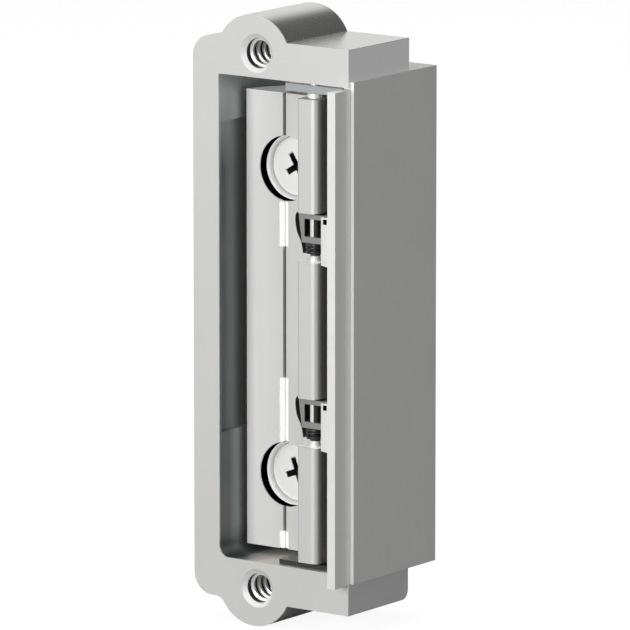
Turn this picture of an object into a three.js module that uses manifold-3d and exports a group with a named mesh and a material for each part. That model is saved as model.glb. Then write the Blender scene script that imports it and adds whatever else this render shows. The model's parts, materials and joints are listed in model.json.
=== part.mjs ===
// Electric door strike with a swinging keeper, a twin-coil lock magnet and a position switch.
// Units are millimetres. Design axes: X to the right, Y into the frame from the plane that the
// strike plate rests on (Y = 0), Z up from mid-height. The exported group moves the design so that
// its origin is the centre of the bounding box.
import * as THREE from "three";
import { mergeVertices } from "three/addons/utils/BufferGeometryUtils.js";
import Module from "manifold-3d";

const wasm = await Module();
wasm.setup();

// ---- Driving dimensions -------------------------------------------------------------------
const WIDTH = 31; // case, without the side cover
const BLOCK_TOP = 46.1; // top of the upper fixing block, and minus the foot of the lower one
const BLOCK_DEPTH = 16.6;
const CORNER_R = 3.5; // outer left corners of the front
const HOUSING_TOP = 40.86;
const CASE_BACK = 22.78;
const SHEET = 0.6; // side cover
const COVER_GAP = 0.02; // between parts that are screwed tight
const COVER_FRONT = 0.6;
const COVER_BACK = 23.4;

const EAR = { x: 12.1, z: 42.8, r: 7.4 };
const EAR_FILLET = 2.2; // where the ear runs into the outer corner
const BLOCK_FOOT_R = 1.5; // lower rear edge of the lower block
const FIXING = { x: 12.8, z: 43.9, bore: 2.45, mouthR: 3.2, mouthDepth: 0.6 };

const POCKET = { left: 5.1, bottom: -39.5, top: 40, back: 21.2, cornerR: 1.75 };
const RELIEF = { depth: 0.8, front: 0.7, back: 20.5, bottom: -19, top: 32 };

const STRIP_FRONT = -3.5; // the strip stands proud by the strike plate's thickness
const BRACKET_SHEET = 1.55;
const BRACKET_RIGHT = WIDTH - 0.05;
const BRACKET_LEFT = BRACKET_RIGHT - BRACKET_SHEET;
const BRACKET = { bottom: -39.45, top: 39.6, back: 21 };
const STRIP_FOOT = -41.05; // the strip runs down into a shallow recess in the lower block
const FOOT_RECESS = { left: 29.2, bottom: -41.25, depth: 0.15 };
const TAB = { front: 1, back: 12.2 };
const TOP_TAB = { left: 17.8, bottom: 38.3, top: 39.9, rebate: 0.35, rebateDepth: 1.2 };
const FOOT_TAB = { left: 16.5, bottom: -39.45, top: -38.65 };
const TAB_SCREW = {
  x: 26.9,
  y: 8.6,
  headR: 2.3,
  headHeight: 1.7,
  shankR: 1.2,
  length: 5,
  slotReach: 1.3,
  slotHalf: 0.28,
};

const PIVOT = { x: 22.8, y: 2.3 }; // keeper hinge
const PIN_R = 0.85;
const PIN_END = 41.6; // both ends of the pin sit in the case, this far from mid-height
const KEEPER_SPRING = { radius: 1.25, wireR: 0.25, foot: 1.15, head: 2.6, turns: 2.1, legs: [5.5, 1.2] };
const WASHER = { r: 1.25, gap: 0.08 }; // fills the end play between the barrel and the top tab
const RUN = 0.05; // radial running clearance
const WINDOWS = [
  { side: "upper", base: 10.9 },
  { side: "lower", base: -19.4 },
];
const WINDOW = { height: 7.9, left: 18.5, back: 5.7 };
const NICHE = { bottom: 0, top: 6.8, left: 15.75, throat: 17.3, right: 24.7, back: 7.3 };
const LUG = { left: 25.6, foot: -0.6, footLeft: -0.15, top: 7.7, front: 0, back: 1.5 };
const LUG_HOLE = { left: 25.97, right: 26.75, bottom: 6.55, top: 7.4 };
const CRADLE = { bottom: 3, floor: 4, ceiling: 6.9, front: 1.2, footR: 2.2, topR: 2.75, boreR: 1.75 };
const CRADLE_ARM = { front: 1.3, back: 4.4 };

const KEEPER = { bottom: -38.3, top: 36.8, front: 6.4, split: 9.6, back: 12.6 };
const BARREL = { left: 20.5, right: 24.6, front: 0.3, back: 7.5, bottom: -38.5, top: 37.3 };
const KEEPER_SWEEP_R = 17.3; // about the hinge, so that the keeper clears the left wall
const SEAM = { left: 13.3, right: 13.95, depth: 0.7 }; // between the keeper plate and its body
const NOTCH = { left: 12.45, right: 14.35, depth: 0.35 };
const SEAM_NOTCHES = [
  [11.6, 19],
  [-20.6, -10],
  [-39, -35.4],
];
const KEEPER_SCREWS = [
  { side: "upper", z: 24.5 },
  { side: "lower", z: -25.9 },
];
const SCREW_X = 13.97;
const KEEPER_SCREW = {
  crownR: 4.4,
  headR: 5,
  headHeight: 1.8,
  skirt: 1.1,
  shankR: 2.4,
  tip: 13.9,
  crossReach: 2.2,
  crossHalf: 0.45,
};
const COUNTERBORE = { r: 5.35, back: 11.1 };
const CATCH = { left: 24.2, right: 27, back: 14.5, bottom: 30.5, top: 36 };

const COILS = [
  { side: "left", x: 10.4 },
  { side: "right", x: 18.4 },
];
const COIL_Y = 17.1;
const COIL = { bottom: -18.1, top: 7, flange: 1, flangeR: 3.7, woundR: 3.4, tubeR: 2.3, coreR: 1.9 };
const CORE_TOP = 7.7;
const YOKE = { left: 6.9, right: 21.9, front: 14.6, back: 21.1, top: -18.2, thick: 1.8 };
const YOKE_FOOT = { front: 19.6, bottom: -28, screwZ: -24.5 };

const ARMATURE_PIVOT = { y: 14.7, z: 10.4 };
const ARMATURE_PIN_R = 0.8;
const ARMATURE = { left: 7, right: 21.8, back: 20.6, bottom: 8.7, top: 10.2, knuckleR: 1.6 };
const PUSHER = { left: 12.2, right: 15.8, front: 14.1, back: 15.3, top: 16.2 };
const LEVER_PIVOT = { y: 17.7, z: 19.6 };
const LEVER_HUB = { left: 12, right: 23.8, r: 2.2 };
const LEVER_FOOT = { left: 12, right: 16, front: 15.6, back: 17.2, bottom: 15 };
const LEVER_ARM = { left: 20.3, front: 16.3, back: 18.4, top: 35.2 };
const LEVER_NOSE = { front: 15.7, bottom: 31.2 };
const CROSS_PIN = { left: 3.7, right: 30.9 };

const SWITCH = { left: 6.2, right: 18.4, front: 14.8, back: 20.9, bottom: 29.8, top: 36 };
const BUTTON = { x: 12.5, z: 33, tip: 12.9, r: 1.1, tail: 17.4, stroke: 1.1 };
const SWITCH_SCREWS = [
  { side: "left", x: 8.3 },
  { side: "right", x: 16.4 },
];
const SWITCH_SCREW = { seat: 15.8, rise: 1.6, headR: 1.4, headHeight: 0.9, shankR: 0.8 };

const TERMINAL = { left: 8, right: 22, front: 13.4, back: 20.9, bottom: -38.6, top: -30.4 };
const TERMINALS = [
  { side: "left", x: 11.5 },
  { side: "right", x: 18.5 },
];
const TERMINAL_Z = -34.5;
const CABLE_OPENING = { left: 8.6, right: 21.4, bottom: -38, top: -31 };

const COVER_SCREWS = [
  { name: "cover_screw_top_left", x: 2.6, z: 36 },
  { name: "cover_screw_top_right", x: 27.1, z: 38.2 },
  { name: "cover_screw_bottom_left", x: 2.6, z: -36 },
  { name: "cover_screw_bottom_right", x: 27.1, z: -37.6 },
];
const COVER_SCREW = {
  headR: 2.1,
  shankR: 1.2,
  coneDepth: 0.95,
  length: 5.5,
  crossDepth: 0.8,
  crossReach: 1.15,
  crossHalf: 0.26,
};
const POSTS = [
  { bottom: 36.2, top: POCKET.top + 0.3 },
  { bottom: POCKET.bottom - 0.3, top: -35.6 },
];
const POST = { left: 25, right: 29.2, front: 15 };

const ROUND = 28; // segments of a full circle
const SMALL_ROUND = 18;
const PAST = 0.5; // how far a cutter runs past the face that it opens

// ---- Solids -------------------------------------------------------------------------------
function solid(geometry) {
  const bare = geometry.index ? geometry.clone() : mergeVertices(geometry);
  bare.deleteAttribute("normal");
  bare.deleteAttribute("uv");
  const merged = mergeVertices(bare, 1e-4);
  return new wasm.Manifold(
    new wasm.Mesh({
      numProp: 3,
      vertProperties: merged.attributes.position.array,
      triVerts: new Uint32Array(merged.index.array),
    }),
  );
}

function box(x0, x1, y0, y1, z0, z1) {
  const geometry = new THREE.BoxGeometry(x1 - x0, y1 - y0, z1 - z0);
  geometry.translate((x0 + x1) / 2, (y0 + y1) / 2, (z0 + z1) / 2);
  return solid(geometry);
}

// A cylinder or cone along a design axis from a to b. The two centre coordinates are in X, Y, Z order.
function rod(axis, radius, a, b, first, second, endRadius = radius, segments = ROUND) {
  const geometry = new THREE.CylinderGeometry(endRadius, radius, b - a, segments);
  const middle = (a + b) / 2;
  if (axis === "x") {
    geometry.rotateZ(-Math.PI / 2);
    geometry.translate(middle, first, second);
  }
  if (axis === "y") {
    geometry.translate(first, middle, second);
  }
  if (axis === "z") {
    geometry.rotateX(Math.PI / 2);
    geometry.translate(first, second, middle);
  }
  return solid(geometry);
}

// A flat outline drawn in X and Y, raised from z0 to z1.
function standing(outline, z0, z1, curveSegments = 6) {
  const geometry = new THREE.ExtrudeGeometry(outline, {
    depth: z1 - z0,
    bevelEnabled: false,
    curveSegments,
  });
  geometry.translate(0, 0, z0);
  return solid(geometry);
}

// A flat outline drawn in X and Z, pushed back from y0 to y1.
function pushed(outline, y0, y1, curveSegments = 6) {
  const geometry = new THREE.ExtrudeGeometry(outline, {
    depth: y1 - y0,
    bevelEnabled: false,
    curveSegments,
  });
  geometry.rotateX(Math.PI / 2);
  geometry.translate(0, y1, 0);
  return solid(geometry);
}

// A round wire along a curve.
function wire(curve, radius, steps, sides = 8) {
  const section = new THREE.Shape();
  section.absarc(0, 0, radius, 0, 2 * Math.PI, false);
  const geometry = new THREE.ExtrudeGeometry(section, {
    steps,
    extrudePath: curve,
    bevelEnabled: false,
    curveSegments: sides,
  });
  return solid(geometry);
}

function join(...solids) {
  return solids.reduce((whole, next) => whole.add(next));
}

function cut(whole, ...tools) {
  return tools.reduce((rest, tool) => rest.subtract(tool), whole);
}

function roundedRect(x0, x1, y0, y1, radii) {
  const [a, b, c, d] = radii; // lower left, lower right, upper right, upper left
  const shape = new THREE.Shape();
  shape.moveTo(x0 + a, y0);
  shape.lineTo(x1 - b, y0);
  shape.absarc(x1 - b, y0 + b, b, -Math.PI / 2, 0, false);
  shape.lineTo(x1, y1 - c);
  shape.absarc(x1 - c, y1 - c, c, 0, Math.PI / 2, false);
  shape.lineTo(x0 + d, y1);
  shape.absarc(x0 + d, y1 - d, d, Math.PI / 2, Math.PI, false);
  shape.lineTo(x0, y0 + a);
  shape.absarc(x0 + a, y0 + a, a, Math.PI, 1.5 * Math.PI, false);
  return shape;
}

// ---- Materials and the scene graph --------------------------------------------------------
const MATERIALS = {
  castZinc: { color: 0xc9cac6, roughness: 0.42, metalness: 0.75 },
  sheetSteel: { color: 0xb4b5b1, roughness: 0.38, metalness: 0.8 },
  bracketSteel: { color: 0xd9dad6, roughness: 0.35, metalness: 0.8 },
  keeperSteel: { color: 0xd2d3cf, roughness: 0.36, metalness: 0.8 },
  screwSteel: { color: 0xcfcfca, roughness: 0.25, metalness: 0.95 },
  springSteel: { color: 0x8d8f90, roughness: 0.3, metalness: 0.95 },
  softIron: { color: 0x9a9c9b, roughness: 0.45, metalness: 0.85 },
  copper: { color: 0xa4572a, roughness: 0.4, metalness: 0.6 },
  bobbinPlastic: { color: 0xe6e2d3, roughness: 0.5, metalness: 0 },
  blackPlastic: { color: 0x1f2022, roughness: 0.5, metalness: 0 },
  greenPlastic: { color: 0x2f6b45, roughness: 0.5, metalness: 0 },
  redPlastic: { color: 0xb3261e, roughness: 0.45, metalness: 0 },
};

const strike = new THREE.Group();
const groups = {};
for (const name of ["case", "hinge", "keeper", "magnet", "lock", "switch", "terminals"]) {
  groups[name] = new THREE.Group();
  groups[name].name = name + "_group";
  strike.add(groups[name]);
}

function place(groupName, name, made, material) {
  const result = made.getMesh();
  const geometry = new THREE.BufferGeometry();
  geometry.setAttribute("position", new THREE.BufferAttribute(result.vertProperties, 3));
  geometry.setIndex(new THREE.BufferAttribute(result.triVerts, 1));
  geometry.computeVertexNormals();
  const mesh = new THREE.Mesh(geometry, new THREE.MeshStandardMaterial(MATERIALS[material]));
  mesh.name = name;
  groups[groupName].add(mesh);
}

// ---- Case ---------------------------------------------------------------------------------
// The front outline, from the lower right corner up and round. An ear stands on each end. It meets
// the block sharply on the right, and through a hollow fillet on the left.
function frontOutline() {
  const rise = BLOCK_TOP - EAR.z;
  const junction = Math.sqrt(EAR.r ** 2 - rise ** 2);
  const angle = Math.asin(rise / EAR.r);
  const reach = EAR.r + EAR_FILLET;
  const filletRise = rise + EAR_FILLET;
  const filletX = EAR.x - Math.sqrt(reach ** 2 - filletRise ** 2);
  const filletZ = BLOCK_TOP + EAR_FILLET;
  const blend = Math.asin(filletRise / reach);
  const shape = new THREE.Shape();
  shape.moveTo(WIDTH, -BLOCK_TOP);
  shape.lineTo(WIDTH, BLOCK_TOP);
  shape.lineTo(EAR.x + junction, BLOCK_TOP);
  shape.absarc(EAR.x, EAR.z, EAR.r, angle, Math.PI - blend, false);
  shape.absarc(filletX, filletZ, EAR_FILLET, -blend, -Math.PI / 2, true);
  shape.absarc(CORNER_R, BLOCK_TOP - CORNER_R, CORNER_R, Math.PI / 2, Math.PI, false);
  shape.absarc(CORNER_R, CORNER_R - BLOCK_TOP, CORNER_R, Math.PI, 1.5 * Math.PI, false);
  shape.absarc(filletX, -filletZ, EAR_FILLET, Math.PI / 2, blend, true);
  shape.absarc(EAR.x, -EAR.z, EAR.r, Math.PI + blend, 2 * Math.PI - angle, false);
  return shape;
}

// What the round on the lower block's rear edge takes away, right of the ear.
function footCorner() {
  const y = BLOCK_DEPTH - BLOCK_FOOT_R;
  const z = BLOCK_FOOT_R - BLOCK_TOP;
  const left = EAR.x + EAR.r;
  return cut(
    box(left, WIDTH + PAST, y, BLOCK_DEPTH + PAST, -BLOCK_TOP - PAST, z),
    rod("x", BLOCK_FOOT_R, left - PAST, WIDTH + 2 * PAST, y, z),
  );
}

function screwCone(screw) {
  const tipR = COVER_SCREW.shankR + RUN;
  const start = COVER_BACK - COVER_SCREW.coneDepth;
  return join(
    rod("y", tipR, start, COVER_BACK + 0.01, screw.x, screw.z, COVER_SCREW.headR + RUN),
    rod("y", tipR, COVER_BACK - COVER_SCREW.length - 0.3, start + 0.1, screw.x, screw.z),
  );
}

function caseBody() {
  const { left, right, front } = POST;
  const pocketShape = roundedRect(
    POCKET.left,
    WIDTH + 3,
    POCKET.bottom,
    POCKET.top,
    [POCKET.cornerR, 0.01, 0.01, 0.3],
  );
  let made = join(
    cut(pushed(frontOutline(), 0, BLOCK_DEPTH, 10), footCorner()),
    box(0, WIDTH, 1, CASE_BACK, -HOUSING_TOP, HOUSING_TOP),
  );
  made = cut(
    made,
    pushed(pocketShape, -PAST, POCKET.back, 5),
    box(
      POCKET.left - RELIEF.depth,
      POCKET.left + 1,
      RELIEF.front,
      RELIEF.back,
      RELIEF.bottom,
      RELIEF.top,
    ),
    box(
      CABLE_OPENING.left,
      CABLE_OPENING.right,
      POCKET.back - PAST,
      CASE_BACK + PAST,
      CABLE_OPENING.bottom,
      CABLE_OPENING.top,
    ),
  );
  made = cut(
    made,
    box(FOOT_RECESS.left, WIDTH + PAST, -PAST, FOOT_RECESS.depth, FOOT_RECESS.bottom, POCKET.bottom),
  );
  for (const post of POSTS) {
    made = made.add(box(left, right, front, POCKET.back + 0.3, post.bottom, post.top));
  }
  for (const side of [1, -1]) {
    const z = side * FIXING.z;
    const flare = (FIXING.mouthR - FIXING.bore) / FIXING.mouthDepth;
    const mouthR = FIXING.mouthR + flare * PAST;
    made = cut(
      made,
      rod("y", FIXING.bore, -PAST, BLOCK_DEPTH + PAST, FIXING.x, z),
      rod("y", mouthR, -PAST, FIXING.mouthDepth, FIXING.x, z, FIXING.bore),
      rod("z", TAB_SCREW.shankR + RUN, side > 0 ? 39 : -45, side > 0 ? 45 : -39, TAB_SCREW.x, TAB_SCREW.y),
      rod("z", PIN_R + RUN, side > 0 ? 39 : -42, side > 0 ? 42 : -39, PIVOT.x, PIVOT.y),
    );
  }
  for (const pivot of [
    { ...ARMATURE_PIVOT, r: ARMATURE_PIN_R },
    { ...LEVER_PIVOT, r: PIN_R },
  ]) {
    made = cut(made, rod("x", pivot.r + RUN, CROSS_PIN.left - 0.1, 6, pivot.y, pivot.z));
  }
  for (const screw of COVER_SCREWS) {
    made = cut(made, screwCone(screw));
  }
  for (const { x } of COILS) {
    made = cut(made, rod("y", 1.05, 20, CASE_BACK - 0.2, x, YOKE_FOOT.screwZ));
  }
  for (const { x } of SWITCH_SCREWS) {
    const z = SWITCH.bottom + SWITCH_SCREW.rise;
    made = cut(made, rod("y", SWITCH_SCREW.shankR + RUN, 20, CASE_BACK - 0.2, x, z));
  }
  return made;
}
place("case", "case_body", caseBody(), "castZinc");

function sideCover() {
  const back = CASE_BACK + COVER_GAP;
  let made = join(
    box(WIDTH, WIDTH + SHEET, COVER_FRONT, COVER_BACK, -HOUSING_TOP, HOUSING_TOP),
    box(0.3, WIDTH + SHEET, back, COVER_BACK, -HOUSING_TOP, HOUSING_TOP),
  );
  const { left, right, bottom, top } = CABLE_OPENING;
  made = cut(made, box(left, right, CASE_BACK - 1, COVER_BACK + 1, bottom, top));
  for (const screw of COVER_SCREWS) {
    made = cut(made, screwCone(screw));
  }
  return made;
}
place("case", "side_cover", sideCover(), "sheetSteel");

// A slot or cross cut into a screw head. The tool is centred on the screw axis.
function crossRecess(x, z, y0, y1, reach, halfWidth) {
  return join(
    box(x - reach, x + reach, y0, y1, z - halfWidth, z + halfWidth),
    box(x - halfWidth, x + halfWidth, y0, y1, z - reach, z + reach),
  );
}

for (const screw of COVER_SCREWS) {
  const coneStart = COVER_BACK - COVER_SCREW.coneDepth;
  const { x, z, name } = screw;
  const { headR, shankR, length, crossDepth, crossReach, crossHalf } = COVER_SCREW;
  const made = join(
    rod("y", shankR, coneStart, COVER_BACK, x, z, headR, SMALL_ROUND),
    rod("y", shankR, COVER_BACK - length, coneStart + 0.05, x, z, shankR, SMALL_ROUND),
  );
  const recess = crossRecess(x, z, COVER_BACK - crossDepth, COVER_BACK + 1, crossReach, crossHalf);
  place("case", name, cut(made, recess), "screwSteel");
}

// ---- Hinge bracket, pin and springs -------------------------------------------------------
// A lug on the strip with a cradle round the hinge pin, inside one window of the keeper. The
// cradle is a cup, open in front and on the right, so that the pin shows inside it.
function hingeLug(base) {
  const { x, y } = PIVOT;
  const z = (rise) => base + rise;
  const right = BRACKET_LEFT + 0.2;
  const outline = new THREE.Shape();
  outline.moveTo(right, z(LUG.foot));
  outline.lineTo(right, z(LUG.top));
  outline.lineTo(LUG.left, z(LUG.top));
  outline.lineTo(LUG.left, z(LUG.footLeft));
  const arm = (low, high) =>
    box(x, right, CRADLE_ARM.front, CRADLE_ARM.back, z(low), z(high));
  const { bottom, floor, ceiling, front, footR, topR, boreR } = CRADLE;
  const cradle = cut(
    rod("z", footR, z(bottom), z(LUG.top), x, y, topR),
    rod("z", boreR, z(floor), z(ceiling), x, y),
    box(x + 0.3, x + topR + 1, y - topR - 1, y + boreR, z(floor), z(ceiling)),
    box(x - topR - 1, LUG.left, y - topR - 1, front, z(bottom - 1), z(LUG.top + 1)),
  );
  const lug = cut(
    pushed(outline, LUG.front, LUG.back),
    box(LUG_HOLE.left, LUG_HOLE.right, -1, 3, z(LUG_HOLE.bottom), z(LUG_HOLE.top)),
  );
  return join(lug, cradle, arm(bottom, floor), arm(ceiling, LUG.top));
}

function hingeBracket() {
  const { rebate, rebateDepth } = TOP_TAB;
  let made = join(
    box(BRACKET_LEFT, BRACKET_RIGHT, STRIP_FRONT, BRACKET.back, BRACKET.bottom, BRACKET.top),
    box(
      BRACKET_LEFT,
      BRACKET_RIGHT,
      STRIP_FRONT,
      FOOT_RECESS.depth - COVER_GAP,
      STRIP_FOOT,
      BRACKET.bottom + 1,
    ),
    box(TOP_TAB.left, BRACKET_RIGHT, TAB.front, TAB.back, TOP_TAB.bottom, TOP_TAB.top),
    box(FOOT_TAB.left, BRACKET_RIGHT, TAB.front, TAB.back, FOOT_TAB.bottom, FOOT_TAB.top),
    ...WINDOWS.map(({ base }) => hingeLug(base)),
  );
  made = cut(
    made,
    box(
      TOP_TAB.left - 1,
      BRACKET_LEFT,
      0,
      TAB.front + rebateDepth,
      TOP_TAB.top - rebate,
      TOP_TAB.top + 1,
    ),
    rod("z", PIN_R + RUN, -41, 41, PIVOT.x, PIVOT.y),
    rod("z", 1.4, -41, 41, TAB_SCREW.x, TAB_SCREW.y),
    rod("x", ARMATURE_PIN_R + RUN, 28, 32, ARMATURE_PIVOT.y, ARMATURE_PIVOT.z),
    rod("x", PIN_R + RUN, 28, 32, LEVER_PIVOT.y, LEVER_PIVOT.z),
  );
  return made;
}
place("hinge", "hinge_bracket", hingeBracket(), "bracketSteel");
place("hinge", "hinge_pin", rod("z", PIN_R, -PIN_END, PIN_END, PIVOT.x, PIVOT.y), "screwSteel");

const washer = cut(
  rod("z", WASHER.r, BARREL.top + WASHER.gap, TOP_TAB.bottom - WASHER.gap, PIVOT.x, PIVOT.y),
  rod("z", PIN_R + RUN, BARREL.top, TOP_TAB.top, PIVOT.x, PIVOT.y),
);
place("hinge", "hinge_washer", washer, "screwSteel");

// A pan-head screw along Z; up is +1 when its tip points up.
function tabScrew(headFace, up) {
  const { x, y, headR, headHeight, shankR, length, slotReach, slotHalf } = TAB_SCREW;
  const tip = headFace + up * length;
  const crown = headFace - up * headHeight;
  const span = (a, b) => [Math.min(a, b), Math.max(a, b)];
  const made = join(
    rod("z", headR, ...span(crown, headFace), x, y, headR, SMALL_ROUND),
    rod("z", shankR, ...span(headFace - up * 0.1, tip), x, y, shankR, SMALL_ROUND),
  );
  const [low, high] = span(crown - up * 0.5, crown + up * 0.9);
  return cut(made, box(x - slotReach, x + slotReach, y - slotHalf, y + slotHalf, low, high));
}
place("hinge", "bracket_screw_upper", tabScrew(TOP_TAB.bottom - 0.02, 1), "screwSteel");
place("hinge", "bracket_screw_lower", tabScrew(FOOT_TAB.top + 0.02, -1), "screwSteel");

// A torsion spring: a helix with one straight leg at each end.
class TorsionCurve extends THREE.Curve {
  constructor({ axis, centre, radius, start, end, turns, legs, phase }) {
    super();
    Object.assign(this, { axis, centre, radius, start, end, turns, legs, phase });
  }
  getPoint(t) {
    const [legA, legB] = this.legs;
    const coilLength = 2 * Math.PI * this.radius * this.turns;
    const total = legA + coilLength + legB;
    const along = t * total;
    const inCoil = Math.min(Math.max((along - legA) / coilLength, 0), 1);
    const angle = this.phase + inCoil * this.turns * 2 * Math.PI;
    const overA = Math.min(along - legA, 0);
    const overB = Math.max(along - legA - coilLength, 0);
    const over = overA + overB;
    const u = this.radius * Math.cos(angle) - over * Math.sin(angle);
    const v = this.radius * Math.sin(angle) + over * Math.cos(angle);
    const w = this.start + (this.end - this.start) * inCoil;
    if (this.axis === "z") {
      return new THREE.Vector3(this.centre[0] + u, this.centre[1] + v, w);
    }
    return new THREE.Vector3(w, this.centre[0] + u, this.centre[1] + v);
  }
}

for (const { side, base } of WINDOWS) {
  const { radius, wireR, foot, head, turns, legs } = KEEPER_SPRING;
  const curve = new TorsionCurve({
    axis: "z",
    centre: [PIVOT.x, PIVOT.y],
    radius,
    start: base + foot,
    end: base + head,
    turns,
    legs,
    phase: 0.5 * Math.PI,
  });
  place("hinge", "keeper_spring_" + side, wire(curve, wireR, 36, 3), "springSteel");
}

// ---- Keeper -------------------------------------------------------------------------------
function keeperSweep(z0, z1) {
  return rod("z", KEEPER_SWEEP_R, z0, z1, PIVOT.x, PIVOT.y, KEEPER_SWEEP_R, 96);
}

function counterbores() {
  return KEEPER_SCREWS.map(({ z }) =>
    rod("y", COUNTERBORE.r, 0, COUNTERBORE.back, SCREW_X, z, COUNTERBORE.r, 40),
  );
}

function seamNotches(x0, x1) {
  const back = KEEPER.front + NOTCH.depth;
  return SEAM_NOTCHES.map(([z0, z1]) => box(x0, x1, KEEPER.front - 1, back, z0, z1));
}

// A window through the hinge barrel, and behind it a niche in the keeper's front that narrows to a
// throat at its foot.
function keeperWindow(base) {
  const { bottom, top, left, throat, right, back } = NICHE;
  const niche = new THREE.Shape();
  niche.moveTo(throat, base + bottom);
  niche.lineTo(right, base + bottom);
  niche.lineTo(right, base + top);
  niche.lineTo(left + 0.7, base + top);
  niche.quadraticCurveTo(left + 0.05, base + top, left, base + top - 1.2);
  niche.quadraticCurveTo(left + 0.05, base + 3.8, left + 0.75, base + 2.7);
  niche.quadraticCurveTo(throat - 0.2, base + 1.9, throat, base + bottom);
  return join(
    box(WINDOW.left, BARREL.right + 1.4, -1, WINDOW.back, base, base + WINDOW.height),
    pushed(niche, WINDOW.back - 0.1, back),
  );
}

function keeperBody() {
  const { bottom, top, front, split, back } = KEEPER;
  const barrel = roundedRect(
    BARREL.left,
    BARREL.right,
    BARREL.front,
    BARREL.back,
    [0.6, 1.3, 0.3, 0.3],
  );
  let made = join(
    standing(barrel, BARREL.bottom, BARREL.top),
    box(SEAM.right, BARREL.right - 0.05, front, split + 0.2, bottom, top),
    box(5, 22.4, split, back, bottom, top),
    box(SEAM.left + RUN, SEAM.right + 0.1, front + SEAM.depth, split + 0.2, bottom, top),
    box(22, CATCH.right, split - 1, back - 1.4, CATCH.bottom, CATCH.top),
    box(CATCH.left, CATCH.right, split - 1, CATCH.back, CATCH.bottom, CATCH.top),
    ...KEEPER_SCREWS.map(({ z }) => rod("y", 3.6, back - 0.3, 14, SCREW_X, z)),
  );
  made = made.intersect(keeperSweep(BARREL.bottom - 1, BARREL.top + 1));
  made = cut(
    made,
    ...counterbores(),
    ...KEEPER_SCREWS.map(({ z }) => rod("y", KEEPER_SCREW.shankR + RUN, 10, 15, SCREW_X, z)),
    ...seamNotches(SEAM.left - 1, NOTCH.right),
    ...WINDOWS.map(({ base }) => keeperWindow(base)),
    rod("z", PIN_R + RUN, BARREL.bottom - 1, BARREL.top + 1, PIVOT.x, PIVOT.y),
  );
  return made;
}
place("keeper", "keeper_body", keeperBody(), "keeperSteel");

function keeperPlate() {
  const { bottom, top, front, split } = KEEPER;
  const made = box(5, SEAM.left, front, split - 0.05, bottom, top)
    .intersect(keeperSweep(bottom - 1, top + 1));
  return cut(made, ...counterbores(), ...seamNotches(NOTCH.left, SEAM.right));
}
place("keeper", "keeper_plate", keeperPlate(), "keeperSteel");

for (const { side, z } of KEEPER_SCREWS) {
  const { crownR, headR, headHeight, skirt, shankR, tip, crossReach, crossHalf } = KEEPER_SCREW;
  const face = COUNTERBORE.back - COVER_GAP;
  const made = join(
    rod("y", crownR, face - headHeight, face - skirt, SCREW_X, z, headR),
    rod("y", headR, face - skirt, face, SCREW_X, z),
    rod("y", shankR, face - 0.1, tip, SCREW_X, z),
  );
  const recess = crossRecess(SCREW_X, z, face - 3, face - 0.5, crossReach, crossHalf);
  place("keeper", "keeper_screw_" + side, cut(made, recess), "screwSteel");
}

// ---- Lock magnet --------------------------------------------------------------------------
function magnetYoke() {
  const { left, right, front, back, top, thick } = YOKE;
  let made = join(
    box(left, right, front, back, top - thick, top),
    box(left, right, YOKE_FOOT.front, back, YOKE_FOOT.bottom, top),
  );
  for (const { x } of COILS) {
    made = cut(
      made,
      rod("z", 1.25, -21, -17, x, COIL_Y),
      rod("y", 1.15, 19, 22, x, YOKE_FOOT.screwZ),
    );
  }
  return made;
}
place("magnet", "magnet_yoke", magnetYoke(), "softIron");

for (const { side, x } of COILS) {
  const { bottom, top, flange, flangeR, woundR, tubeR, coreR } = COIL;
  const bore = coreR + RUN;
  const core = join(
    rod("z", coreR, bottom + 0.02, CORE_TOP, x, COIL_Y),
    rod("z", 1.2, YOKE.top - YOKE.thick, bottom + 0.1, x, COIL_Y),
  );
  const bobbin = cut(
    join(
      rod("z", flangeR, bottom, bottom + flange, x, COIL_Y),
      rod("z", flangeR, top - flange, top, x, COIL_Y),
      rod("z", tubeR, bottom, top, x, COIL_Y),
    ),
    rod("z", bore, bottom - 1, top + 1, x, COIL_Y),
  );
  const winding = cut(
    rod("z", woundR, bottom + flange + 0.02, top - flange - 0.02, x, COIL_Y),
    rod("z", tubeR + 0.03, bottom, top, x, COIL_Y),
  );
  const footFace = YOKE_FOOT.front - 0.02;
  const screw = cut(
    join(
      rod("y", 2.1, footFace - 1.3, footFace, x, YOKE_FOOT.screwZ, 2.1, SMALL_ROUND),
      rod("y", 1, footFace - 0.1, 22.4, x, YOKE_FOOT.screwZ, 1, SMALL_ROUND),
    ),
    crossRecess(x, YOKE_FOOT.screwZ, footFace - 2, footFace - 0.6, 1.1, 0.25),
  );
  place("magnet", "core_" + side, core, "softIron");
  place("magnet", "bobbin_" + side, bobbin, "bobbinPlastic");
  place("magnet", "winding_" + side, winding, "copper");
  place("magnet", "yoke_screw_" + side, screw, "screwSteel");
}

function armature() {
  const { left, right, back, bottom, top, knuckleR } = ARMATURE;
  const { y, z } = ARMATURE_PIVOT;
  return cut(
    join(
      box(left, right, y, back, bottom, top),
      rod("x", knuckleR, left, right, y, z),
      box(PUSHER.left, PUSHER.right, PUSHER.front, PUSHER.back, z, PUSHER.top),
    ),
    rod("x", ARMATURE_PIN_R + RUN, left - 1, right + 1, y, z),
    box(left - 1, PUSHER.left - 2, 12, y + knuckleR + 0.1, top + 0.3, 13),
  );
}
place("magnet", "armature", armature(), "softIron");

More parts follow.
